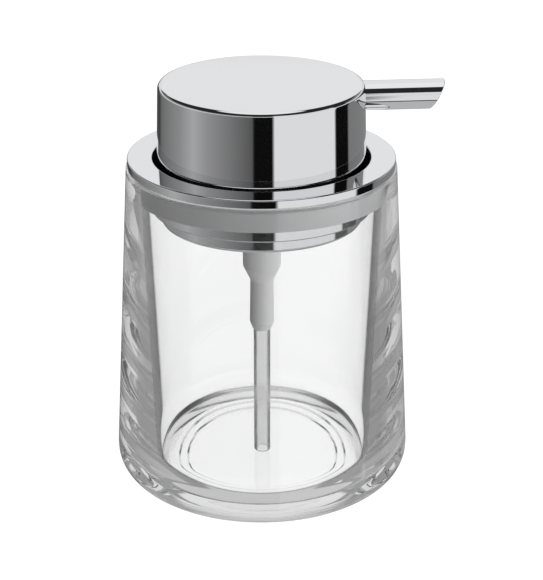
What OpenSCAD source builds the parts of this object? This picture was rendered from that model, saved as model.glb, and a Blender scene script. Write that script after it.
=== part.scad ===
// Refillable table soap dispenser: a thick clear glass bottle, a chromed collar
// that drops into its mouth, and a lotion pump with a round chromed press head.
// Origin: on the bottle's axis, in the plane that the bottle stands on.
// +Z is up along the axis. +X is the way the spout points at rest.

/* [Bottle] */
// Widest diameter, just above the foot
base_d = 90; // [86:0.5:96]
// Outside diameter at the rim
rim_d = 79.4; // [79:0.1:82]
// Height from the foot to the rim
bottle_h = 98; // [96:0.5:110]
// Wall thickness at the rim
rim_wall = 2.7; // [2.3:0.1:2.8]
// Wall thickness above the foot
foot_wall = 10.2; // [9.5:0.1:11]
// Thickness of the glass floor at its middle
floor_t = 1.6; // [1.4:0.2:3]

/* [Collar] */
// Flange diameter
flange_d = 78.5; // [77:0.5:79]
// Flange thickness
flange_t = 2.5; // [2:0.1:3]
// Diameter of the hole that the press head slides in
collar_bore_d = 63.8; // [63.4:0.1:64]
// Depth from the top of the flange to the cup's floor
cup_depth = 13; // [13:0.1:13.5]
// Diameter of the step that holds the seal up
step_d = 67; // [66.6:0.1:68]
// Diameter of the dish under the collar
dish_d = 61.4; // [58:0.2:63]

/* [Press head] */
// Diameter at the lower edge
head_d = 61.1; // [60:0.1:61.4]
// Height of the head
head_h = 21.9; // [21:0.1:23]
// How much narrower the head is at its top, in diameter
head_draft = 1.3; // [0:0.1:2]
// Wall thickness of the chromed shell
head_wall = 1.5; // [1.2:0.1:1.8]
// How far the head can be pressed down
stroke = 12; // [8:0.5:12]

/* [Spout] */
// Outside diameter of the spout
spout_d = 8.6; // [8.6:0.1:9]
// Reach of the spout's upper edge from the axis
spout_reach = 53.3; // [48:0.5:70]
// Lean of the cut across the spout's end
spout_cut_angle = 27; // [0:1:45]

/* [Pump] */
// Outside diameter of the pump's barrel
barrel_d = 11.7; // [11.6:0.1:12]
// Bore of the pump's barrel
barrel_bore_d = 9.5; // [9.4:0.1:9.6]
// Diameter of the hollow stem
stem_d = 6.8; // [6.6:0.1:7]
// Diameter of both valve balls
ball_d = 4.4; // [4.2:0.1:4.5]
// Outside diameter of the dip tube
tube_d = 5.2; // [4.8:0.1:5.4]
// Diameter of the spring wire
wire_d = 0.6; // [0.5:0.1:0.6]
// Number of turns in the return spring
spring_turns = 5; // [4:1:5]

/* [Hidden] */

$fn = 96;
// Clearance of a part that runs in or on another
running = 0.05;
// Clearance between parts that are pressed or pushed together
push = 0.02;
// A cut goes this far past the face that it opens
past = 1;

// Bottle
base_r = base_d / 2;
rim_r = rim_d / 2;
mouth_r = rim_r - rim_wall;
belly_z = 8.5;
heel_round = 7;
heel_r = base_r - 0.05;
rim_round = 0.7;
inner_foot_r = base_r - foot_wall;
well_r = 24;
well_step = 0.5;
well_slope = 0.6;
shelf_r = 27.4;
shelf_z = floor_t + 2 * well_step;
inner_foot_z = shelf_z + 11.6;

// Collar, from the rim up and down
seat_gap = 0.1;
flange_z = bottle_h + seat_gap;
flange_top = flange_z + flange_t;
flange_r = flange_d / 2;
flange_round = 0.45;
bore_r = collar_bore_d / 2;
bore_round = 0.5;
cup_wall = 1;
cup_floor_z = flange_top - cup_depth;
cup_floor_t = 1.4;
cup_under_z = cup_floor_z - cup_floor_t;
step_r = step_d / 2;
step_top = cup_under_z + 4.3;
step_round = 0.5;
dish_r = dish_d / 2;
dish_h = 4.5;
dish_z = cup_under_z - dish_h;
dish_wall = 1.4;
dish_round = 1.1;
boss_r = 9;
seal_r = mouth_r - 0.3;
seal_top = flange_z - 0.1;
seal_shoulder_z = step_top + 5.6;

// Pump barrel, from the top down
barrel_r = barrel_d / 2;
chamber_r = barrel_bore_d / 2;
barrel_hole_r = barrel_r + 0.2;
washer_t = 0.6;
barrel_flange_z = cup_floor_z + washer_t;
barrel_flange_t = 1.4;
barrel_flange_r = boss_r - 0.2;
barrel_top = barrel_flange_z + 4.4;
cone_top_z = barrel_top - 28.6;
cone_end_z = cone_top_z - 4.5;
socket_r = 3.55;
socket_foot_r = 3.75;
socket_z = cone_top_z - 20.4;
socket_chamfer_z = socket_z + 2.2;
tube_r = tube_d / 2;
tube_bore_r = tube_r - 0.8;
tube_top = cone_end_z - 1.1;
tube_foot_z = floor_t + 0.6;
seat_hole_r = 1.4;
seat_z = cone_end_z + 0.5;
pocket_r = 2.9;
pocket_top = seat_z + 5.5;
nut_h = 4.4;
nut_across = 19;

// Valve balls rest on cones that open at 45 degrees
ball_r = ball_d / 2;
seat_rise = (ball_r + 0.03) * sqrt(2);
inlet_ball_z = seat_z - seat_hole_r + seat_rise;
cage_t = 1.1;
cage_bar = 1;

// Moving plunger, at rest
stem_r = stem_d / 2;
stem_bore_r = 2;
foot_z = barrel_top - 9.9;
foot_t = 1.2;
piston_z = foot_z + foot_t;
piston_h = 6;
lip_h = 1.2;
stem_top = flange_top + 14.4;
outlet_hole_r = 1.3;
outlet_seat_z = stem_top - 6.6;
outlet_pocket_r = 2.6;
outlet_ball_z = outlet_seat_z - outlet_hole_r + seat_rise;

// Stem guide that closes the barrel
guide_z = barrel_flange_z + barrel_flange_t + 0.1;
guide_r = 7.4;
guide_plate = 1.3;
plug_z = barrel_top - 2.1;
guide_seal_t = 0.5;

// Return spring, from the inlet cage up to the piston's foot
spring_z = pocket_top + cage_t + 0.1;
spring_h = foot_z - 0.1 - spring_z;
spring_r = chamber_r - 0.4 - wire_d / 2;
steps_per_turn = 18;
wire_sides = 8;

// Press head
head_z = flange_top - 0.2;
head_top = head_z + head_h;
head_r = head_d / 2;
head_top_r = head_r - head_draft / 2;
head_round = 1.5;
head_edge_round = 0.4;
ceiling_z = head_top - head_wall;
hub_r = 6.2;
hub_z = barrel_top + guide_plate + stroke + 0.7;
core_disc_t = 1.2;
core_r = head_top_r - head_wall - 0.2;
rib_t = 1.4;
rib_h = 7.6;
rib_count = 6;
rim_t = 1.2;

// Spout, square to the axis
spout_r = spout_d / 2;
spout_z = head_top - 4.7;
spout_wall = 0.8;
spout_root_x = core_r + 0.2;
channel_r = 1.8;
arm_r = 2.9;
liner_r = spout_r - spout_wall - push;
liner_wall = 0.9;
liner_inset = 1.2;

glass = [0.86, 0.92, 0.93, 0.35];
chrome = [0.80, 0.81, 0.83];
steel = [0.62, 0.63, 0.65];
white = [0.93, 0.93, 0.92];
clear_plastic = [0.88, 0.89, 0.90, 0.7];
rubber = [0.70, 0.71, 0.72];

// Points of a quarter of an ellipse about (cx, cz), turning from angle a0 to a1
function arc(cx, cz, rx, rz, a0, a1, n = 8) =
    [for (i = [0 : n]) let (a = a0 + (a1 - a0) * i / n) [cx + rx * cos(a), cz + rz * sin(a)]];

// A solid of revolution about Z from its half section
module turned(points) {
    rotate_extrude() polygon(points);
}

// A plain ring
module ring(outer, inner, z, h) {
    translate([0, 0, z]) difference() {
        cylinder(r = outer, h = h);
        translate([0, 0, -past]) cylinder(r = inner, h = h + 2 * past);
    }
}

// A round bar or bore along +X at the spout's height
module along_spout(r, x0, x1) {
    translate([x0, 0, spout_z]) rotate([0, 90, 0]) cylinder(r = r, h = x1 - x0);
}

// Everything past the slanted cut across the spout, moved back by an inset
module past_cut(inset) {
    translate([spout_reach - inset, 0, spout_z + spout_r])
        rotate([0, spout_cut_angle, 0])
            translate([0, -2 * spout_r, -4 * spout_r]) cube(4 * spout_r * [2, 1, 2]);
}

// A ring crossed by two bars that a valve ball cannot pass
module cage(outer, inner, z) {
    ring(outer, inner, z, cage_t);
    for (turn = [0, 90]) translate([0, 0, z + cage_t / 2]) rotate([0, 0, turn])
        cube([2 * inner + cage_bar, cage_bar, cage_t], center = true);
}

// Thick clear bottle: outside widens to a round heel while the inside narrows to a
// shallow well with two steps
module glass_body() {
    color(glass) turned(concat(
        [[0, 0]],
        arc(heel_r - heel_round, heel_round, heel_round, heel_round, -90, 0),
        [[base_r, belly_z]],
        arc(rim_r - rim_round, bottle_h - rim_round, rim_round, rim_round, 0, 90),
        arc(mouth_r + rim_round, bottle_h - rim_round, rim_round, rim_round, 90, 180),
        arc(shelf_r, inner_foot_z, inner_foot_r - shelf_r, inner_foot_z - shelf_z, 0, -90, 14),
        [[shelf_r - well_slope, shelf_z - well_step], [well_r + well_slope, shelf_z - well_step],
         [well_r, floor_t], [0, floor_t]]));
}

// Soft clear ring that centres the collar in the mouth
module seal_ring() {
    inner = bore_r + cup_wall + push;
    color(clear_plastic) turned([
        [inner, step_top], [seal_r, step_top], [seal_r, seal_shoulder_z],
        [seal_r - 0.9, seal_shoulder_z + 0.6], [seal_r - 0.9, seal_top], [inner, seal_top]]);
}

// Chromed flange with the cup that the head sinks into, and the step below the seal
module collar() {
    cup_r = bore_r + cup_wall;
    color(chrome) turned(concat(
        [[barrel_hole_r, cup_under_z]],
        arc(step_r - step_round, cup_under_z + step_round, step_round, step_round, -90, 0),
        [[step_r, step_top], [cup_r, step_top], [cup_r, flange_z], [flange_r - flange_round, flange_z]],
        arc(flange_r - flange_round, flange_top - flange_round, flange_round, flange_round, 0, 90),
        arc(bore_r + bore_round, flange_top - bore_round, bore_round, bore_round, 90, 180),
        [[bore_r, cup_floor_z], [barrel_hole_r, cup_floor_z]]));
}

// Chromed dish that covers the underside of the cup
module collar_dish() {
    color(chrome) turned(concat(
        [[barrel_hole_r, dish_z]],
        arc(dish_r - dish_round, dish_z + dish_round, dish_round, dish_round, -90, 0),
        [[dish_r, cup_under_z], [dish_r - dish_wall, cup_under_z],
         [dish_r - dish_wall, dish_z + dish_wall], [boss_r, dish_z + dish_wall],
         [boss_r, cup_under_z], [barrel_hole_r, cup_under_z]]));
}

// Hexagonal nut that clamps the dish and the collar to the barrel
module pump_nut() {
    across_corners = nut_across / cos(30);
    color(white) translate([0, 0, dish_z - nut_h]) difference() {
        cylinder(d = across_corners, h = nut_h, $fn = 6);
        translate([0, 0, -past]) cylinder(r = barrel_r + push, h = nut_h + 2 * past);
    }
}

// Soft washer under the barrel's flange
module barrel_washer() {
    color(rubber) ring(barrel_flange_r, barrel_hole_r, cup_floor_z, washer_t);
}

// Pump barrel: chamber, inlet valve seat and the socket for the dip tube
module pump_barrel() {
    flange_end = barrel_flange_z + barrel_flange_t;
    color(white) turned([
        [tube_r + push, socket_z], [socket_foot_r - 0.8, socket_z],
        [socket_foot_r, socket_chamfer_z], [socket_r, cone_end_z], [barrel_r, cone_top_z],
        [barrel_r, barrel_flange_z], [barrel_flange_r, barrel_flange_z],
        [barrel_flange_r, flange_end], [barrel_r, flange_end], [barrel_r, barrel_top],
        [chamber_r, barrel_top], [chamber_r, pocket_top], [pocket_r, pocket_top],
        [pocket_r, seat_z + pocket_r - seat_hole_r], [seat_hole_r, seat_z],
        [seat_hole_r, tube_top + 0.1], [tube_r + push, tube_top + 0.1]]);
}

// Tube that draws the soap from the floor of the bottle
module dip_tube() {
    color(clear_plastic) ring(tube_r, tube_bore_r, tube_foot_z, tube_top - tube_foot_z);
}

// Ball of the inlet valve
module inlet_ball() {
    color(steel) translate([0, 0, inlet_ball_z]) sphere(r = ball_r);
}

// Cage that keeps the inlet ball low and carries the spring
module inlet_cage() {
    color(white) cage(chamber_r - push, 3.1, pocket_top);
}

// Points of the wire's ring at one step along the coil
function wire_ring(i, total) =
    let (turn = 360 * i / steps_per_turn,
         lift = spring_z + wire_d / 2 + (spring_h - wire_d) * i / total)
    [for (s = [0 : wire_sides - 1])
        let (a = 360 * s / wire_sides, r = spring_r + wire_d / 2 * cos(a))
        [r * cos(turn), r * sin(turn), lift + wire_d / 2 * sin(a)]];

// Return spring: one wire swept round the chamber
module return_spring() {
    total = spring_turns * steps_per_turn;
    last = total * wire_sides;
    points = [for (i = [0 : total]) each wire_ring(i, total)];
    sides = [for (i = [0 : total - 1]) for (s = [0 : wire_sides - 1])
        let (a = i * wire_sides, b = a + wire_sides, t = (s + 1) % wire_sides)
        [a + s, b + s, b + t, a + t]];
    start = [for (s = [0 : wire_sides - 1]) s];
    end = [for (s = [wire_sides - 1 : -1 : 0]) last + s];
    color(steel) polyhedron(points = points, faces = concat([start], sides, [end]), convexity = 12);
}

// Foot that the spring pushes on, plugged into the stem
module piston_foot() {
    color(white) turned([
        [1.1, foot_z], [chamber_r - 0.4, foot_z], [chamber_r - 0.4, piston_z],
        [stem_bore_r - push, piston_z], [stem_bore_r - push, piston_z + 5], [1.1, piston_z + 5]]);
}

// Piston with a wiping lip at each end
module piston() {
    lip_r = chamber_r - running;
    waist_r = chamber_r - 0.5;
    inner = stem_r + push;
    end = piston_z + piston_h;
    color(clear_plastic) turned([
        [inner, piston_z], [lip_r, piston_z], [lip_r, piston_z + lip_h],
        [waist_r, piston_z + 2 * lip_h], [waist_r, end - 2 * lip_h],
        [lip_r, end - lip_h], [lip_r, end], [inner, end]]);
}

// Hollow stem with the outlet valve seat near its top
module stem() {
    seat_end = outlet_seat_z + outlet_pocket_r - outlet_hole_r;
    color(white) turned([
        [stem_bore_r, piston_z], [stem_r, piston_z], [stem_r, stem_top],
        [outlet_pocket_r, stem_top], [outlet_pocket_r, seat_end],
        [outlet_hole_r, outlet_seat_z], [outlet_hole_r, outlet_seat_z - 0.8],
        [stem_bore_r, outlet_seat_z - 1.5]]);
}

// Ball of the outlet valve
module outlet_ball() {
    color(steel) translate([0, 0, outlet_ball_z]) sphere(r = ball_r);
}

// Cage that keeps the outlet ball in the stem
module outlet_cage() {
    color(white) cage(outlet_pocket_r - push, 1.8, stem_top - cage_t);
}

// Soft wiper between the guide and the stem
module stem_seal() {
    color(rubber) ring(chamber_r - push, stem_r + running, plug_z - guide_seal_t - 0.05, guide_seal_t);
}

// Guide that closes the barrel and centres the stem
module stem_guide() {
    bore = stem_r + running;
    top = barrel_top + guide_plate;
    color(white) turned([
        [bore, plug_z], [chamber_r - push, plug_z], [chamber_r - push, barrel_top + push],
        [barrel_r + push, barrel_top + push], [barrel_r + push, guide_z], [guide_r, guide_z],
        [guide_r, top - 0.5], [guide_r - 0.5, top], [bore, top]]);
}

// Moulded core inside the head: hub on the stem, ribs, and the channel to the spout
module head_core() {
    disc_z = ceiling_z - core_disc_t;
    color(white) difference() {
        union() {
            translate([0, 0, disc_z]) cylinder(r = core_r, h = core_disc_t);
            translate([0, 0, hub_z]) cylinder(r = hub_r, h = ceiling_z - hub_z);
            ring(core_r, core_r - rim_t, disc_z - rib_h, rib_h + core_disc_t);
            for (i = [0 : rib_count - 1]) rotate([0, 0, (i + 0.5) * 360 / rib_count])
                translate([hub_r - 1, -rib_t / 2, disc_z - rib_h])
                    cube([core_r - hub_r, rib_t, rib_h + core_disc_t]);
            along_spout(arm_r, 0, core_r - rim_t / 2);
        }
        translate([0, 0, hub_z - past]) cylinder(r = stem_r + running, h = stem_top + 0.1 - hub_z + past);
        translate([0, 0, stem_top]) cylinder(r = channel_r, h = spout_z - stem_top);
        along_spout(channel_r, 0, spout_root_x + past);
    }
}

// Chromed shell of the press head, drilled at the side for the spout
module head_shell() {
    inner_r = head_r - head_wall;
    color(chrome) difference() {
        turned(concat(
            [[0, ceiling_z], [head_top_r - head_wall, ceiling_z], [inner_r, head_z]],
            arc(head_r - head_edge_round, head_z + head_edge_round, head_edge_round, head_edge_round, -90, 0),
            arc(head_top_r - head_round, head_top - head_round, head_round, head_round, 0, 90),
            [[0, head_top]]));
        along_spout(spout_r + push, core_r - 1, head_r + past);
    }
}

// Chromed outside of the spout, cut on a slant so that it drips clear
module spout_sleeve() {
    color(chrome) difference() {
        along_spout(spout_r, spout_root_x, spout_reach + past);
        along_spout(spout_r - spout_wall, spout_root_x - past, spout_reach + 2 * past);
        past_cut(0);
    }
}

// Plastic tube inside the spout, set back from its end
module spout_liner() {
    color(white) difference() {
        along_spout(liner_r, spout_root_x, spout_reach);
        along_spout(liner_r - liner_wall, spout_root_x - past, spout_reach + past);
        past_cut(liner_inset);
    }
}

glass_body();
seal_ring();
collar();
collar_dish();
pump_nut();
barrel_washer();
pump_barrel();
dip_tube();
inlet_ball();
inlet_cage();
return_spring();
piston_foot();
piston();
stem();
outlet_ball();
outlet_cage();
stem_seal();
stem_guide();
head_core();
head_shell();
spout_sleeve();
spout_liner();
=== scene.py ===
"""Looks of the soap pump dispenser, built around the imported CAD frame.

Profiles are in millimetres, as (radius, height) points that run up the outside and down the inside.
lathe() turns them into meshes in metres.
"""
import math
import bmesh
import bpy
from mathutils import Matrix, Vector


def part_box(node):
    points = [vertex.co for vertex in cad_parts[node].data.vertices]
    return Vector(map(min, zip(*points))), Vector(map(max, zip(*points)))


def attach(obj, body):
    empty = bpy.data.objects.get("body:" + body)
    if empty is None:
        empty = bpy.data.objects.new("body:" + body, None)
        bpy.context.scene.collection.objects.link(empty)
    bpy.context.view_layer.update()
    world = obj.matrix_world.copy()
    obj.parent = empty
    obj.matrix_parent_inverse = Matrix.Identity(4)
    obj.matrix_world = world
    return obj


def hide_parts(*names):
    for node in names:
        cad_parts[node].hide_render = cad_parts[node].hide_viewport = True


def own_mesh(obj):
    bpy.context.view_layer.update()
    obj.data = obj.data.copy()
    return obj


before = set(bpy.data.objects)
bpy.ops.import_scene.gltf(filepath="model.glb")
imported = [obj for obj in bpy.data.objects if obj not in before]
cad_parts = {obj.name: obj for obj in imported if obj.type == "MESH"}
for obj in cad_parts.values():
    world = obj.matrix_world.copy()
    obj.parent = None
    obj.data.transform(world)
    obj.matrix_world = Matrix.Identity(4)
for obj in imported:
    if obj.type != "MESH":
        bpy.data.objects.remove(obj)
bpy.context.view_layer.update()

MM = 0.001
FINE = 192            # steps round the large turned pieces
MEDIUM = 96           # steps round the pump's small turned pieces
SMOOTH_LIMIT = 35     # corners sharper than this many degrees stay sharp
GAP = 0.02            # air between fitted pieces, in millimetres

# Camera: where it stands, how it looks down, and its focal length on a 36 mm sensor
CAMERA_AZIMUTH = -4.6
CAMERA_DISTANCE = 451.2
CAMERA_HEIGHT = 253.9
CAMERA_PITCH = 23.55
CAMERA_YAW = -0.37
CAMERA_LENS = 100.9


def make_camera():
    data = bpy.data.cameras.new("photo_camera")
    data.lens = CAMERA_LENS
    data.sensor_width = 36
    data.clip_start = 0.01
    camera = bpy.data.objects.new("photo_camera", data)
    bpy.context.scene.collection.objects.link(camera)
    turn = math.radians(CAMERA_AZIMUTH)
    camera.location = Vector((math.sin(turn), -math.cos(turn), 0)) * CAMERA_DISTANCE * MM
    camera.location.z = CAMERA_HEIGHT * MM
    camera.rotation_euler = (math.radians(90 - CAMERA_PITCH), 0, math.radians(CAMERA_AZIMUTH + CAMERA_YAW))
    bpy.context.scene.camera = camera


make_camera()


# ---------------------------------------------------------------- shapes

def extent(node):
    """Radius, lowest and highest point of a turned CAD node, in millimetres."""
    low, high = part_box(node)
    return high.y / MM, low.z / MM, high.z / MM


def arc(r, z, radius_r, radius_z, start, end, steps=10):
    """Points of an ellipse about (r, z), from the start to the end angle in degrees."""
    points = []
    for i in range(steps + 1):
        a = math.radians(start + (end - start) * i / steps)
        points.append((r + radius_r * math.cos(a), z + radius_z * math.sin(a)))
    return points


def corner_normals(profile, closed):
    """For each segment of a profile, the outward normals at its two ends, rounded over soft corners."""
    count = len(profile)
    segments = count if closed else count - 1
    flat = []
    for k in range(segments):
        (r0, z0), (r1, z1) = profile[k], profile[(k + 1) % count]
        flat.append(Vector((z1 - z0, r0 - r1)))
    pairs = []
    for k in range(segments):
        ends = []
        for step in (-1, 1):
            other = (k + step) % segments if closed else k + step
            if 0 <= other < segments and flat[k].angle(flat[other]) < math.radians(SMOOTH_LIMIT):
                ends.append((flat[k] + flat[other]).normalized())
            else:
                ends.append(flat[k].normalized())
        pairs.append(ends)
    return pairs


def new_piece(name, vertices, faces, normals):
    mesh = bpy.data.meshes.new(name)
    mesh.from_pydata(vertices, [], faces)
    mesh.polygons.foreach_set("use_smooth", [True] * len(faces))
    mesh.normals_split_custom_set([n for face in normals for n in face])
    piece = bpy.data.objects.new(name, mesh)
    bpy.context.scene.collection.objects.link(piece)
    return piece


def lathe(name, profile, steps=FINE, closed=True):
    """A piece turned about the Z axis from its half section."""
    count = len(profile)
    ends = corner_normals(profile, closed)
    vertices = []
    first = []
    for r, z in profile:
        first.append(len(vertices))
        on_axis = r < 1e-6
        for j in range(1 if on_axis else steps):
            a = 2 * math.pi * j / steps
            vertices.append((r * math.cos(a) * MM, r * math.sin(a) * MM, z * MM))

    def corner(k, j):
        return first[k] if profile[k][0] < 1e-6 else first[k] + j % steps

    faces, normals = [], []
    for k, (low, high) in enumerate(ends):
        m = (k + 1) % count
        if profile[k][0] < 1e-6 and profile[m][0] < 1e-6:
            continue
        for j in range(steps):
            face, face_normals = [], []
            for ring, side, normal in ((k, j, low), (k, j + 1, low), (m, j + 1, high), (m, j, high)):
                index = corner(ring, side)
                if index in face:
                    continue
                a = 2 * math.pi * side / steps
                face.append(index)
                face_normals.append((normal.x * math.cos(a), normal.x * math.sin(a), normal.y))
            faces.append(face)
            normals.append(face_normals)
    return new_piece(name, vertices, faces, normals)


def place(piece, body, slot, material, *nodes):
    """Gives a piece its material, its body, and the CAD nodes that it stands for."""
    piece.data.materials.append(material)
    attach(piece, body)
    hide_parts(*nodes)
    return piece


# ---------------------------------------------------------------- materials

CHROME_TINT = (0.86, 0.865, 0.88)
CHROME_ROUGHNESS = (0.015, 0.045)
POLISH_WAVE = 0.000004      # height of a polished part's slow unevenness, in metres
COLLAR_WAVE = 0.00002       # the same on the thinner pressed collar
GLASS_TINT = (0.966, 0.967, 0.968)
GLASS_WAVE = 0.00003
MOTTLE_SCALE = 1400 / 6     # patches to the metre on moulded plastic
MOTTLE_SHADES = (0.94, 1.0)
GRAIN_DEPTH = 0.00002
GRAIN_STRENGTH = 0.3
# Painted shade at the glass's edges: how much of its tint the bottle's inside keeps, from (0) met head on to
# (1) grazed
EDGE_SHADE_TINTS = ((0.64, 1.0), (0.68, 0.03), (0.82, 0.10), (1.0, 0.25))


def shader(name, **sockets):
    """A new material and its Principled shader, with the given sockets set."""
    material = bpy.data.materials.new(name)
    material.use_nodes = True
    principled = material.node_tree.nodes["Principled BSDF"]
    for socket, value in sockets.items():
        principled.inputs[socket.replace("_", " ")].default_value = value
    return material, principled


def noise_range(material, scale, low, high, stretch=(1, 1, 1), detail=3):
    """A noise over the object's own space: scaled to lie between two values, and as it is."""
    nodes, links = material.node_tree.nodes, material.node_tree.links
    coordinates = nodes.new("ShaderNodeTexCoord")
    mapping = nodes.new("ShaderNodeMapping")
    mapping.inputs["Scale"].default_value = stretch
    noise = nodes.new("ShaderNodeTexNoise")
    noise.inputs["Scale"].default_value = scale
    noise.inputs["Detail"].default_value = detail
    scaled = nodes.new("ShaderNodeMapRange")
    scaled.inputs["To Min"].default_value = low
    scaled.inputs["To Max"].default_value = high
    links.new(coordinates.outputs["Object"], mapping.inputs["Vector"])
    links.new(mapping.outputs["Vector"], noise.inputs["Vector"])
    links.new(noise.outputs["Fac"], scaled.inputs["Value"])
    return scaled.outputs["Result"], noise.outputs["Fac"]


def add_bump(material, principled, height, distance, strength=1.0):
    """Raises the surface by distance, in metres, where the height output is 1."""
    bump = material.node_tree.nodes.new("ShaderNodeBump")
    bump.inputs["Strength"].default_value = strength
    bump.inputs["Distance"].default_value = distance
    material.node_tree.links.new(height, bump.inputs["Height"])
    material.node_tree.links.new(bump.outputs["Normal"], principled.inputs["Normal"])


def chrome_material(name, wave):
    """Polished metal. wave is the height of its slow unevenness, in metres."""
    material, principled = shader(name, Base_Color=(*CHROME_TINT, 1), Metallic=1.0)
    roughness, _ = noise_range(material, 90, *CHROME_ROUGHNESS)
    material.node_tree.links.new(roughness, principled.inputs["Roughness"])
    _, height = noise_range(material, 75, 0.0, 1.0, detail=0)
    add_bump(material, principled, height, wave)
    return material


def glass_material(name):
    """Clear pressed glass with the faint upright waviness of a mould."""
    material, principled = shader(name, Base_Color=(*GLASS_TINT, 1), Roughness=0.0, IOR=1.5,
                                  Transmission_Weight=1.0)
    _, height = noise_range(material, 90, 0.0, 1.0, stretch=(1, 1, 0.35), detail=1)
    add_bump(material, principled, height, GLASS_WAVE)
    return material, principled


def paint_edge_shade(material, principled):
    """Paints shade into the glass's tint where it is met at a grazing angle, by the listed edge tints:
    painted dark edges.
    """
    tree = material.node_tree
    facing = tree.nodes.new("ShaderNodeLayerWeight")
    ramp = tree.nodes.new("ShaderNodeValToRGB")
    elements = ramp.color_ramp.elements
    for i, (position, level) in enumerate(EDGE_SHADE_TINTS):
        element = elements[i] if i < len(elements) else elements.new(position)
        element.position = position
        element.color = (*(level * c for c in GLASS_TINT), 1)
    tree.links.new(facing.outputs["Facing"], ramp.inputs["Fac"])
    tree.links.new(ramp.outputs["Color"], principled.inputs["Base Color"])


def moulded_material(name, colour, roughness):
    """Moulded plastic: a faint mottle in the colour and a fine grain in the surface."""
    material, principled = shader(name, Roughness=roughness, IOR=1.48)
    shade, height = noise_range(material, MOTTLE_SCALE, *MOTTLE_SHADES)
    mix = material.node_tree.nodes.new("ShaderNodeMix")
    mix.data_type = "RGBA"
    mix.inputs["A"].default_value = (0, 0, 0, 1)
    mix.inputs["B"].default_value = (*colour, 1)
    material.node_tree.links.new(shade, mix.inputs["Factor"])
    material.node_tree.links.new(mix.outputs["Result"], principled.inputs["Base Color"])
    add_bump(material, principled, height, GRAIN_DEPTH, GRAIN_STRENGTH)
    return material, principled


chrome = chrome_material("bright_chrome", POLISH_WAVE)
collar_chrome = chrome_material("collar_chrome", COLLAR_WAVE)
glass, _ = glass_material("clear_pressed_glass")
# The inside faces' glass carries painted shade where it is met at a grazing angle.
edge_shaded_glass, inner_shader = glass_material("glass_painted_edge_shade")
paint_edge_shade(edge_shaded_glass, inner_shader)
white_plastic, _ = moulded_material("white_plastic", (0.80, 0.80, 0.80), 0.35)
tube_plastic, tube_shader = moulded_material("milky_tube", (0.97, 0.97, 0.97), 0.22)
tube_shader.inputs["Transmission Weight"].default_value = 0.92
seal_plastic, seal_shader = moulded_material("milky_seal", (0.80, 0.805, 0.81), 0.30)
seal_shader.inputs["Transmission Weight"].default_value = 0.25
rubber, _ = moulded_material("grey_rubber", (0.30, 0.30, 0.31), 0.6)
steel = chrome_material("polished_steel", POLISH_WAVE)
# Near-black painted shade for the inside of the collar's bore, where the cup lies in shadow.
bore_painted_shade, _ = moulded_material("painted_shade_bore", (0.012, 0.012, 0.013), 0.5)


# ---------------------------------------------------------------- bottle

base_r, _, bottle_h = extent("glass_body")
flange_r, cup_under, flange_top = extent("collar")
dish_r, dish_z, dish_top = extent("collar_dish")
seal_r, seal_z, seal_top = extent("seal_ring")
head_r, head_z, head_top = extent("head_shell")
barrel_flange_r, barrel_z, barrel_top = extent("pump_barrel")
tube_r, tube_z, tube_top = extent("dip_tube")
guide_r, guide_z, guide_top = extent("stem_guide")
stem_r, stem_z, stem_top = extent("stem")

RIM_R = 39.7
MOUTH_R = 37.0
RIM_ROUND = 0.7
BELLY_Z = 8.5
HEEL_ROUND = 7
HEEL_INSET = 0.05
INNER_FOOT_R = 34.8
INNER_FOOT_Z = 14.2
SHELF_R = 27.4
SHELF_Z = 2.6
WELL_R = 24
WELL_STEP = 0.5
WELL_SLOPE = 0.6
FLOOR_T = 1.6


def bottle_profile():
    heel_r = base_r - HEEL_INSET
    return (
        [(0, 0)]
        + arc(heel_r - HEEL_ROUND, HEEL_ROUND, HEEL_ROUND, HEEL_ROUND, -90, 0, 16)
        + [(base_r, BELLY_Z)]
        + arc(RIM_R - RIM_ROUND, bottle_h - RIM_ROUND, RIM_ROUND, RIM_ROUND, 0, 90)
        + arc(MOUTH_R + RIM_ROUND, bottle_h - RIM_ROUND, RIM_ROUND, RIM_ROUND, 90, 180)
        + arc(SHELF_R, INNER_FOOT_Z, INNER_FOOT_R - SHELF_R, INNER_FOOT_Z - SHELF_Z, 0, -90, 24)
        + [(SHELF_R - WELL_SLOPE, SHELF_Z - WELL_STEP), (WELL_R + WELL_SLOPE, SHELF_Z - WELL_STEP),
           (WELL_R, FLOOR_T), (0, FLOOR_T)]
    )


def give_inside_edge_shade(piece):
    """The faces that look into the bottle get the inner glass, with its painted shade at grazed edges."""
    piece.data.materials.append(edge_shaded_glass)
    for face in piece.data.polygons:
        middle, out = face.center, face.normal
        inward = out.x * middle.x + out.y * middle.y < 0
        on_floor = out.z > 0.5 and middle.z < INNER_FOOT_Z * MM
        if inward or on_floor:
            face.material_index = 1


bottle = place(lathe("glass_bottle", bottle_profile()), "bottle", "clear_glass", glass, "glass_body")
give_inside_edge_shade(bottle)


# ---------------------------------------------------------------- collar and seal

BORE_R = 31.9
FLANGE_T = 2.5
FLANGE_ROUND = 0.45
CUP_WALL = 1.0
CUP_FLOOR_T = 1.4
STEP_R = 33.5
STEP_H = 4.3
CUP_ROUND = 0.5
BORE_DROP = 0.6         # how far under the flange's top the bore's painted shade starts
BARREL_HOLE_R = 6.05


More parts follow.
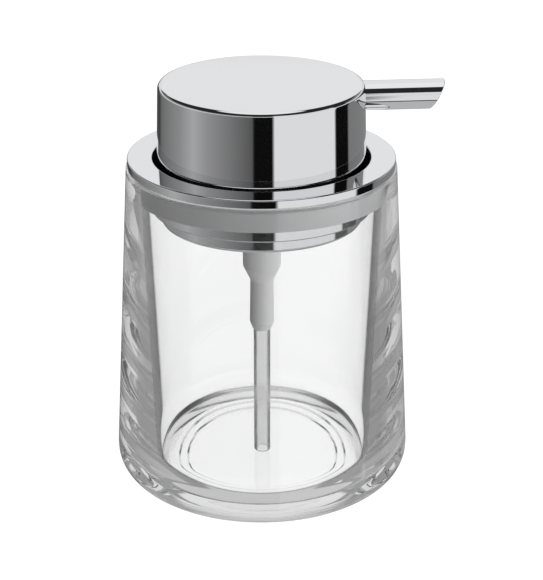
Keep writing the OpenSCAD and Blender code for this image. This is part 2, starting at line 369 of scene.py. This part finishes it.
def collar_profile():
    cup_r = BORE_R + CUP_WALL
    flange_z = flange_top - FLANGE_T
    soft = 0.2
    return (
        [(BARREL_HOLE_R, cup_under)]
        + arc(STEP_R - CUP_ROUND, cup_under + CUP_ROUND, CUP_ROUND, CUP_ROUND, -90, 0)
        + [(STEP_R, cup_under + STEP_H), (cup_r, cup_under + STEP_H), (cup_r, flange_z)]
        + arc(flange_r - soft, flange_z + soft, soft, soft, -90, 0)
        + arc(flange_r - FLANGE_ROUND, flange_top - FLANGE_ROUND, FLANGE_ROUND, FLANGE_ROUND, 0, 90)
        + arc(BORE_R + CUP_ROUND, flange_top - CUP_ROUND, CUP_ROUND, CUP_ROUND, 90, 180)
        + [(BORE_R, cup_under + CUP_FLOOR_T), (BARREL_HOLE_R, cup_under + CUP_FLOOR_T)]
    )


def dish_profile():
    wall, boss, corner = 1.4, 9, 1.1
    return (
        [(BARREL_HOLE_R, dish_z)]
        + arc(dish_r - corner, dish_z + corner, corner, corner, -90, 0)
        + [(dish_r, dish_top), (dish_r - wall, dish_top), (dish_r - wall, dish_z + wall),
           (boss, dish_z + wall), (boss, dish_top), (BARREL_HOLE_R, dish_top)]
    )


def seal_profile():
    """A ring with a shallow ledge under the flange."""
    inner = BORE_R + CUP_WALL + GAP
    soft, ledge, ledge_drop = 0.3, 0.9, 1.8
    soft_top = seal_top - 2.2
    return (
        [(inner, seal_z)]
        + arc(seal_r - soft, seal_z + soft, soft, soft, -90, 0)
        + arc(seal_r - soft, soft_top, soft, soft, 0, 90)
        + [(seal_r - ledge, seal_top - ledge_drop), (seal_r - ledge, seal_top), (inner, seal_top)]
    )


def paint_bore_shade(piece):
    """Paints shade on the deep inside of the cup, which the head covers: a near-black material where the bore
    lies in shadow.
    """
    piece.data.materials.append(bore_painted_shade)
    lowest, highest = (cup_under + 0.1) * MM, (flange_top - BORE_DROP) * MM
    for face in piece.data.polygons:
        middle = face.center
        in_shaded_bore = math.hypot(middle.x, middle.y) < (BORE_R + GAP) * MM
        if in_shaded_bore and lowest < middle.z < highest:
            face.material_index = 1


flange_piece = lathe("collar_flange", collar_profile())
place(flange_piece, "pump_unit", "chrome", collar_chrome, "collar")
paint_bore_shade(flange_piece)
place(lathe("collar_foot", dish_profile()), "pump_unit", "chrome", collar_chrome, "collar_dish")
place(lathe("mouth_seal", seal_profile()), "pump_unit", "clear_seal", seal_plastic, "seal_ring")


# ---------------------------------------------------------------- press head and spout

HEAD_DRAFT = 0.65
HEAD_WALL = 1.5
HEAD_ROUND = 1.5
HEAD_EDGE = 0.4


def head_profile():
    top_r = head_r - HEAD_DRAFT
    return (
        [(0, head_top - HEAD_WALL), (top_r - HEAD_WALL, head_top - HEAD_WALL), (head_r - HEAD_WALL, head_z)]
        + arc(head_r - HEAD_EDGE, head_z + HEAD_EDGE, HEAD_EDGE, HEAD_EDGE, -90, 0)
        + arc(top_r - HEAD_ROUND, head_top - HEAD_ROUND, HEAD_ROUND, HEAD_ROUND, 0, 90)
        + [(0, head_top)]
    )


place(lathe("head_cap", head_profile()), "head", "chrome", chrome, "head_shell")

spout_low, spout_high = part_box("spout_sleeve")
SPOUT_R = spout_high.y / MM
SPOUT_Z = (spout_low.z + spout_high.z) / 2 / MM
SPOUT_REACH = spout_high.x / MM
SPOUT_ROOT = spout_low.x / MM
SPOUT_LEAN = math.tan(math.radians(27))
SPOUT_WALL = 0.8
LINER_WALL = 0.9
LINER_INSET = 1.2


def spout_tube(name, outer, inner, root, end, steps=64):
    """A tube along +X whose far end is cut on a slant. end is the reach of its highest point.
    Its section's points are (radius, place along the tube from the slanted cut), or at the root."""
    edge = min(0.25, (outer - inner) / 3)
    rim = arc(outer - edge, -edge, edge, edge, 0, 90, 5)
    rim += arc(inner + edge, -edge, edge, edge, 90, 180, 5)
    profile = [(outer, "root")] + [(r, back) for r, back in rim] + [(inner, "root")]
    vertices = []
    for r, back in profile:
        for j in range(steps):
            a = 2 * math.pi * j / steps
            y, up = r * math.cos(a), r * math.sin(a)
            x = root if back == "root" else end - (SPOUT_R - up) * SPOUT_LEAN + back
            vertices.append((x * MM, y * MM, (SPOUT_Z + up) * MM))
    faces = []
    rings = len(profile)
    for k in range(rings):
        m = (k + 1) % rings
        for j in range(steps):
            n = (j + 1) % steps
            faces.append((k * steps + j, k * steps + n, m * steps + n, m * steps + j))
    mesh = bpy.data.meshes.new(name)
    mesh.from_pydata(vertices, [], faces)
    mesh.polygons.foreach_set("use_smooth", [True] * len(faces))
    mesh.set_sharp_from_angle(angle=math.radians(50))
    piece = bpy.data.objects.new(name, mesh)
    bpy.context.scene.collection.objects.link(piece)
    weighted = piece.modifiers.new("weighted", "WEIGHTED_NORMAL")
    weighted.keep_sharp = True
    return piece


place(spout_tube("spout", SPOUT_R, SPOUT_R - SPOUT_WALL, SPOUT_ROOT, SPOUT_REACH),
      "head", "chrome", chrome, "spout_sleeve")
place(spout_tube("spout_inner_tube", SPOUT_R - SPOUT_WALL - GAP, SPOUT_R - SPOUT_WALL - LINER_WALL,
                 SPOUT_ROOT, SPOUT_REACH - LINER_INSET),
      "head", "white_plastic", white_plastic, "spout_liner")


# ---------------------------------------------------------------- pump

BARREL_R = 5.85
CHAMBER_R = 4.75
TUBE_WALL = 0.8
RUNNING = 0.05          # air round the stem where it slides, in millimetres
NUT_CHAMFER = 0.6
SPRING_WIRE_R = 0.3
SPRING_TURNS = 5
SPRING_CLOSE_UP = 0.07  # how much the end turns are drawn together


def barrel_profile():
    """Up the outside from the tube's socket to the flange, and down the chamber to the ball's seat."""
    flange_z, flange_end = barrel_top - 4.4, barrel_top - 3
    socket_foot_r, socket_r, chamfer_z = 3.75, 3.55, 46.1
    cone_foot_z, cone_z = 59.5, 64
    pocket_r, pocket_z, seat_r, seat_z = 2.9, 65.5, 1.4, 60
    tube_end_z = 58.5
    return [
        (tube_r + GAP, barrel_z), (socket_foot_r - 0.8, barrel_z),
        (socket_foot_r - 0.03, chamfer_z - 0.4), (socket_foot_r, chamfer_z),
        (socket_r, cone_foot_z - 0.3), (socket_r + 0.1, cone_foot_z + 0.2),
        (BARREL_R - 0.13, cone_z - 0.2), (BARREL_R, cone_z + 0.3),
        (BARREL_R, flange_z), (barrel_flange_r, flange_z), (barrel_flange_r, flange_end),
        (BARREL_R, flange_end), (BARREL_R, barrel_top), (CHAMBER_R, barrel_top),
        (CHAMBER_R, pocket_z), (pocket_r, pocket_z), (pocket_r, seat_z + pocket_r - seat_r),
        (seat_r, seat_z), (seat_r, tube_end_z), (tube_r + GAP, tube_end_z),
    ]


def dip_tube_profile():
    bore = tube_r - TUBE_WALL
    return [(bore, tube_z), (tube_r, tube_z), (tube_r, tube_top), (bore, tube_top)]


def washer_profile(node, inner):
    outer, low, high = extent(node)
    soft = 0.12
    return ([(inner, low)] + arc(outer - soft, low + soft, soft, soft, -90, 0, 4)
            + arc(outer - soft, high - soft, soft, soft, 0, 90, 4) + [(inner, high)])


def guide_profile():
    """A plug in the chamber's top, with a plate over the barrel's end and a skirt round it."""
    bore, plug_r, skirt_r = stem_r + RUNNING, CHAMBER_R - GAP, BARREL_R + GAP
    plate_z, skirt_z = barrel_top + GAP, barrel_top - 2.9
    corner, edge = 0.5, 0.25
    return ([(bore, guide_z), (plug_r, guide_z), (plug_r, plate_z), (skirt_r, plate_z),
             (skirt_r, skirt_z), (guide_r, skirt_z)]
            + arc(guide_r - corner, guide_top - corner, corner, corner, 0, 90, 6)
            + arc(bore + edge, guide_top - edge, edge, edge, 90, 180, 4))


def piston_profile():
    """A sleeve with a sealing lip at each end."""
    lip_r, low, high = extent("piston")
    inner, waist_r, lip, edge = stem_r + GAP, CHAMBER_R - 0.5, 1.2, 0.3
    return [(inner, low), (lip_r - edge / 2, low), (lip_r, low + edge), (lip_r, low + lip),
            (waist_r, low + 2 * lip), (waist_r, high - 2 * lip), (lip_r, high - lip),
            (lip_r, high - edge), (lip_r - edge / 2, high), (inner, high)]


def foot_profile():
    """A flange that the spring pushes on, with a hollow plug that goes up into the stem."""
    outer, low, high = extent("piston_foot")
    bore, plug_r, plug_z, soft = 1.1, 1.98, low + 1.2, 0.2
    return ([(bore, low)] + arc(outer - soft, low + soft, soft, soft, -90, 0, 4)
            + [(outer, plug_z), (plug_r, plug_z), (plug_r, high), (bore, high)])


def stem_profile():
    """A tube with the outlet ball's seat near its top."""
    bore, cup_r, seat_r, edge = 2.0, 2.6, 1.3, 0.3
    seat_z, seat_t = stem_top - 6.6, 0.8
    return [(bore, stem_z), (stem_r, stem_z), (stem_r, stem_top - edge), (stem_r - edge, stem_top),
            (cup_r, stem_top), (cup_r, seat_z + cup_r - seat_r), (seat_r, seat_z),
            (seat_r, seat_z - seat_t), (bore, seat_z - seat_t - bore + seat_r)]


def ball_profile(node):
    r, low, high = extent(node)
    return arc(0, (low + high) / 2, r, r, -90, 90, 24)


def hexagonal_nut():
    """Six-sided nut with turned chamfers, threaded on the barrel."""
    low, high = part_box("pump_nut")
    across, chamfer, inner = high.y, NUT_CHAMFER * MM, (BARREL_R + GAP) * MM
    corner_r = across / math.cos(math.radians(30))
    mesh = bmesh.new()
    rings = []
    for r, z in ((inner, low.z), (corner_r - chamfer, low.z), (corner_r, low.z + chamfer),
                 (corner_r, high.z - chamfer), (corner_r - chamfer, high.z), (inner, high.z)):
        ring = []
        for j in range(MEDIUM):
            a = 2 * math.pi * j / MEDIUM
            away = (a + math.pi / 6) % (math.pi / 3) - math.pi / 6
            flat_r = across / math.cos(away)
            radius = r if r == inner else min(r, flat_r)
            ring.append(mesh.verts.new((radius * math.sin(a), radius * math.cos(a), z)))
        rings.append(ring)
    for k, ring in enumerate(rings):
        other = rings[(k + 1) % len(rings)]
        for j in range(MEDIUM):
            m = (j + 1) % MEDIUM
            mesh.faces.new((ring[m], ring[j], other[j], other[m]))
    data = bpy.data.meshes.new("clamp_nut")
    mesh.to_mesh(data)
    mesh.free()
    piece = bpy.data.objects.new("clamp_nut", data)
    bpy.context.scene.collection.objects.link(piece)
    return piece


def coil_spring():
    """One wire in even turns that close up a little at both ends."""
    low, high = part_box("return_spring")
    wire = SPRING_WIRE_R * MM
    coil_r = high.y - wire
    per_turn, sides = 40, 12
    total = SPRING_TURNS * per_turn
    vertices, faces = [], []
    for i in range(total + 1):
        share = i / total
        climb = share - SPRING_CLOSE_UP * math.sin(2 * math.pi * share)
        z = low.z + wire + (high.z - low.z - 2 * wire) * climb
        a = 2 * math.pi * i / per_turn
        for j in range(sides):
            b = 2 * math.pi * j / sides
            r = coil_r + wire * math.cos(b)
            vertices.append((r * math.cos(a), r * math.sin(a), z + wire * math.sin(b)))
    for i in range(total):
        for j in range(sides):
            m = (j + 1) % sides
            faces.append((i * sides + j, (i + 1) * sides + j, (i + 1) * sides + m, i * sides + m))
    faces.append(tuple(range(sides)))
    faces.append(tuple(total * sides + j for j in reversed(range(sides))))
    data = bpy.data.meshes.new("coil_spring")
    data.from_pydata(vertices, [], faces)
    data.polygons.foreach_set("use_smooth", [True] * len(faces))
    data.set_sharp_from_angle(angle=math.radians(60))
    piece = bpy.data.objects.new("coil_spring", data)
    bpy.context.scene.collection.objects.link(piece)
    return piece


TURNED_PUMP_PIECES = (
    # piece, half section, body, slot, material, CAD node
    ("barrel", barrel_profile(), "pump_unit", "white_plastic", white_plastic, "pump_barrel"),
    ("suction_tube", dip_tube_profile(), "pump_unit", "clear_tube", tube_plastic, "dip_tube"),
    ("soft_washer", washer_profile("barrel_washer", BARREL_HOLE_R), "pump_unit", "rubber_seal", rubber,
     "barrel_washer"),
    ("wiper", washer_profile("stem_seal", stem_r + RUNNING), "pump_unit", "rubber_seal", rubber,
     "stem_seal"),
    ("guide_cap", guide_profile(), "pump_unit", "white_plastic", white_plastic, "stem_guide"),
    ("hollow_stem", stem_profile(), "plunger", "white_plastic", white_plastic, "stem"),
    ("wiping_piston", piston_profile(), "plunger", "clear_tube", tube_plastic, "piston"),
    ("piston_plug", foot_profile(), "plunger", "white_plastic", white_plastic, "piston_foot"),
    ("lower_ball", ball_profile("inlet_ball"), "inlet_valve", "steel_ball", steel, "inlet_ball"),
    ("upper_ball", ball_profile("outlet_ball"), "outlet_valve", "steel_ball", steel, "outlet_ball"),
)
for name, profile, body, slot, material, node in TURNED_PUMP_PIECES:
    place(lathe(name, profile, MEDIUM, closed="ball" not in name), body, slot, material, node)

place(hexagonal_nut(), "pump_unit", "white_plastic", white_plastic, "pump_nut")
spring = place(coil_spring(), "pump_unit", "spring_steel", steel, "return_spring")
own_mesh(spring)

for node in ("inlet_cage", "outlet_cage", "head_core"):
    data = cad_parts[node].data
    data.materials.clear()
    data.materials.append(white_plastic)


# ---------------------------------------------------------------- studio

ANY = 0.5               # a count of bounces over this is at least one


def math_node(tree, operation, first, second=0.0):
    """A Math node on two numbers or outputs."""
    node = tree.nodes.new("ShaderNodeMath")
    node.operation = operation
    for socket, value in zip(node.inputs, (first, second)):
        if isinstance(value, (int, float)):
            socket.default_value = value
        else:
            tree.links.new(value, socket)
    return node.outputs[0]


def mixed(tree, share, low, high):
    """A grey between two greys or colour outputs."""
    node = tree.nodes.new("ShaderNodeMix")
    node.data_type = "RGBA"
    tree.links.new(share, node.inputs["Factor"])
    for socket, value in ((node.inputs["A"], low), (node.inputs["B"], high)):
        if isinstance(value, (int, float)):
            socket.default_value = (value, value, value, 1)
        else:
            tree.links.new(value, socket)
    return node.outputs["Result"]


def spread(tree, value, low, high, to_low=0.0, to_high=1.0):
    """An output carried over from one range to another, and held at its ends."""
    node = tree.nodes.new("ShaderNodeMapRange")
    tree.links.new(value, node.inputs["Value"])
    for socket, number in (("From Min", low), ("From Max", high), ("To Min", to_low), ("To Max", to_high)):
        node.inputs[socket].default_value = number
    return node.outputs["Result"]


FLOOR_REACH = 2500
FLOOR_GAP = 0.2         # air under the bottle, so that its underside still acts as glass
FLOOR_SHADE = 0.24
FLOOR_GLOW = 0.92


def floor_material():
    """Pale, but clear to reflected and scattered light, so the room alone lights the chrome."""
    material, principled = shader("pale_floor", Base_Color=(FLOOR_SHADE, FLOOR_SHADE, FLOOR_SHADE, 1),
                                  Roughness=0.9, Specular_IOR_Level=0.0,
                                  Emission_Color=(1, 1, 1, 1), Emission_Strength=FLOOR_GLOW)
    tree = material.node_tree
    path = tree.nodes.new("ShaderNodeLightPath")
    bounced = math_node(tree, "ADD", path.outputs["Glossy Depth"], path.outputs["Diffuse Depth"])
    clear = tree.nodes.new("ShaderNodeBsdfTransparent")
    either = tree.nodes.new("ShaderNodeMixShader")
    tree.links.new(math_node(tree, "GREATER_THAN", bounced, ANY), either.inputs["Fac"])
    tree.links.new(principled.outputs["BSDF"], either.inputs[1])
    tree.links.new(clear.outputs["BSDF"], either.inputs[2])
    tree.links.new(either.outputs["Shader"], tree.nodes["Material Output"].inputs["Surface"])
    return material


def make_floor():
    r, z = FLOOR_REACH * MM, -FLOOR_GAP * MM
    mesh = bpy.data.meshes.new("floor")
    mesh.from_pydata([(-r, -r, z), (r, -r, z), (r, r, z), (-r, r, z)], [], [(0, 1, 2, 3)])
    mesh.materials.append(floor_material())
    floor = bpy.data.objects.new("floor", mesh)
    bpy.context.scene.collection.objects.link(floor)


# The studio that the chrome reflects. Each ring of panels is (degrees, level). 0 degrees is towards the
# viewpoint of the main view, and 90 is to its right.
FRONT_PANELS = ((-100, 0.28), (-79, 0.42), (-60, 0.30), (-25, 0.16), (-10, 0.10), (-8, 0.004), (12, 0.004),
                (14, 0.80), (86, 0.80), (88, 0.004), (108, 0.004))
LOW_PANELS = ((-180, 0.10), (-150, 0.05), (-140, 0.16)) + FRONT_PANELS + ((110, 0.20), (179, 0.25))
HIGH_PANELS = ((-180, 0.85), (-160, 0.85), (-156, 0.08), (-140, 0.16)) + FRONT_PANELS + (
    (110, 0.20), (152, 0.25), (156, 0.85), (179, 0.85))
FRONT_GAP = ((-180, 0.85), (-155, 0.85), (-150, 0.02), (150, 0.02), (155, 0.85), (179, 0.85))
TABLE_LEVEL = 0.50
TABLE_EDGE_LEVEL = 0.02
LOW_WALL_LEVEL = 0.75
OVERHEAD = 0.92
# Height, as a part of 1, of the directions where each layer of the studio gives way to the next
TABLE_EDGE_FROM = -0.66
PANELS_FROM = -0.56
HORIZON = 0.02
LOW_WALL_FROM = 0.10
LOW_WALL_TO = 0.25
GAP_FROM = 0.44
OVERHEAD_FROM = 0.90
SOFTNESS = 0.02
SIDE_LIGHT = (0.05, 1.15)       # what matt surfaces get from the far left and the far right
SIDE_LIGHT_SPAN = (-0.8, 0.8)
GLASS_LEVEL = 0.70              # what light caught in the glass wall sees besides the studio
GLASS_SHARE = 0.42
GLASS_PASSES = 3.5              # light that went through more surfaces than this has left the wall


def panel_ring(tree, share, panels):
    """The level of a ring of panels at a share of the way round it."""
    ring = tree.nodes.new("ShaderNodeValToRGB")
    tree.links.new(share, ring.inputs["Fac"])
    elements = ring.color_ramp.elements
    while len(elements) > 1:
        elements.remove(elements[-1])
    for i, (degrees, level) in enumerate(panels):
        position = (degrees + 180) / 360
        element = elements[0] if i == 0 else elements.new(position)
        element.position = position
        element.color = (level, level, level, 1)
    return ring.outputs["Color"]


def make_world():
    """A white room where it is seen directly. Reflections see a table, a ring of panels and a bright ceiling,
    and scattered light comes mostly from the right."""
    world = bpy.data.worlds.new("studio")
    world.use_nodes = True
    bpy.context.scene.world = world
    tree = world.node_tree
    nodes, links = tree.nodes, tree.links
    nodes.clear()
    direction = nodes.new("ShaderNodeTexCoord")
    turn = nodes.new("ShaderNodeVectorRotate")
    turn.rotation_type = "Z_AXIS"
    turn.inputs["Angle"].default_value = -math.radians(CAMERA_AZIMUTH)
    links.new(direction.outputs["Generated"], turn.inputs["Vector"])
    split = nodes.new("ShaderNodeSeparateXYZ")
    links.new(turn.outputs["Vector"], split.inputs["Vector"])
    right, away, up = split.outputs
    azimuth = math_node(tree, "ARCTAN2", right, math_node(tree, "MULTIPLY", away, -1.0))
    around = spread(tree, azimuth, -math.pi, math.pi)
    low, high, gap = (panel_ring(tree, around, panels) for panels in (LOW_PANELS, HIGH_PANELS, FRONT_GAP))
    layers = (
        (TABLE_EDGE_FROM, TABLE_EDGE_LEVEL), (PANELS_FROM, low), (HORIZON, high),
        (LOW_WALL_FROM, LOW_WALL_LEVEL), (LOW_WALL_TO, high), (GAP_FROM, gap), (OVERHEAD_FROM, OVERHEAD),
    )
    reflected = TABLE_LEVEL
    for start, layer in layers:
        reflected = mixed(tree, spread(tree, up, start, start + SOFTNESS), reflected, layer)
    scattered = spread(tree, right, *SIDE_LIGHT_SPAN, *SIDE_LIGHT)
    path = nodes.new("ShaderNodeLightPath")
    by_mirror = math_node(tree, "GREATER_THAN", path.outputs["Glossy Depth"], ANY)
    by_matt = math_node(tree, "GREATER_THAN", path.outputs["Diffuse Depth"], ANY)
    passes = path.outputs["Transmission Depth"]
    in_glass = math_node(tree, "MULTIPLY", math_node(tree, "GREATER_THAN", passes, ANY),
                         math_node(tree, "LESS_THAN", passes, GLASS_PASSES))
    softened = mixed(tree, math_node(tree, "MULTIPLY", in_glass, GLASS_SHARE), reflected, GLASS_LEVEL)
    seen = mixed(tree, by_matt, mixed(tree, by_mirror, 1.0, softened), scattered)
    background = nodes.new("ShaderNodeBackground")
    output = nodes.new("ShaderNodeOutputWorld")
    links.new(seen, background.inputs["Color"])
    links.new(background.outputs["Background"], output.inputs["Surface"])


GLASS_BOUNCES = 24      # light goes round inside the thick glass many times

make_floor()
make_world()

scene = bpy.context.scene
scene.view_settings.view_transform = "Standard"
scene.cycles.use_denoising = True
scene.cycles.max_bounces = GLASS_BOUNCES
scene.cycles.transmission_bounces = GLASS_BOUNCES
scene.cycles.glossy_bounces = GLASS_BOUNCES
scene.cycles.diffuse_bounces = 4
scene.cycles.caustics_refractive = True
scene.cycles.caustics_reflective = True
scene.cycles.blur_glossy = 0.0
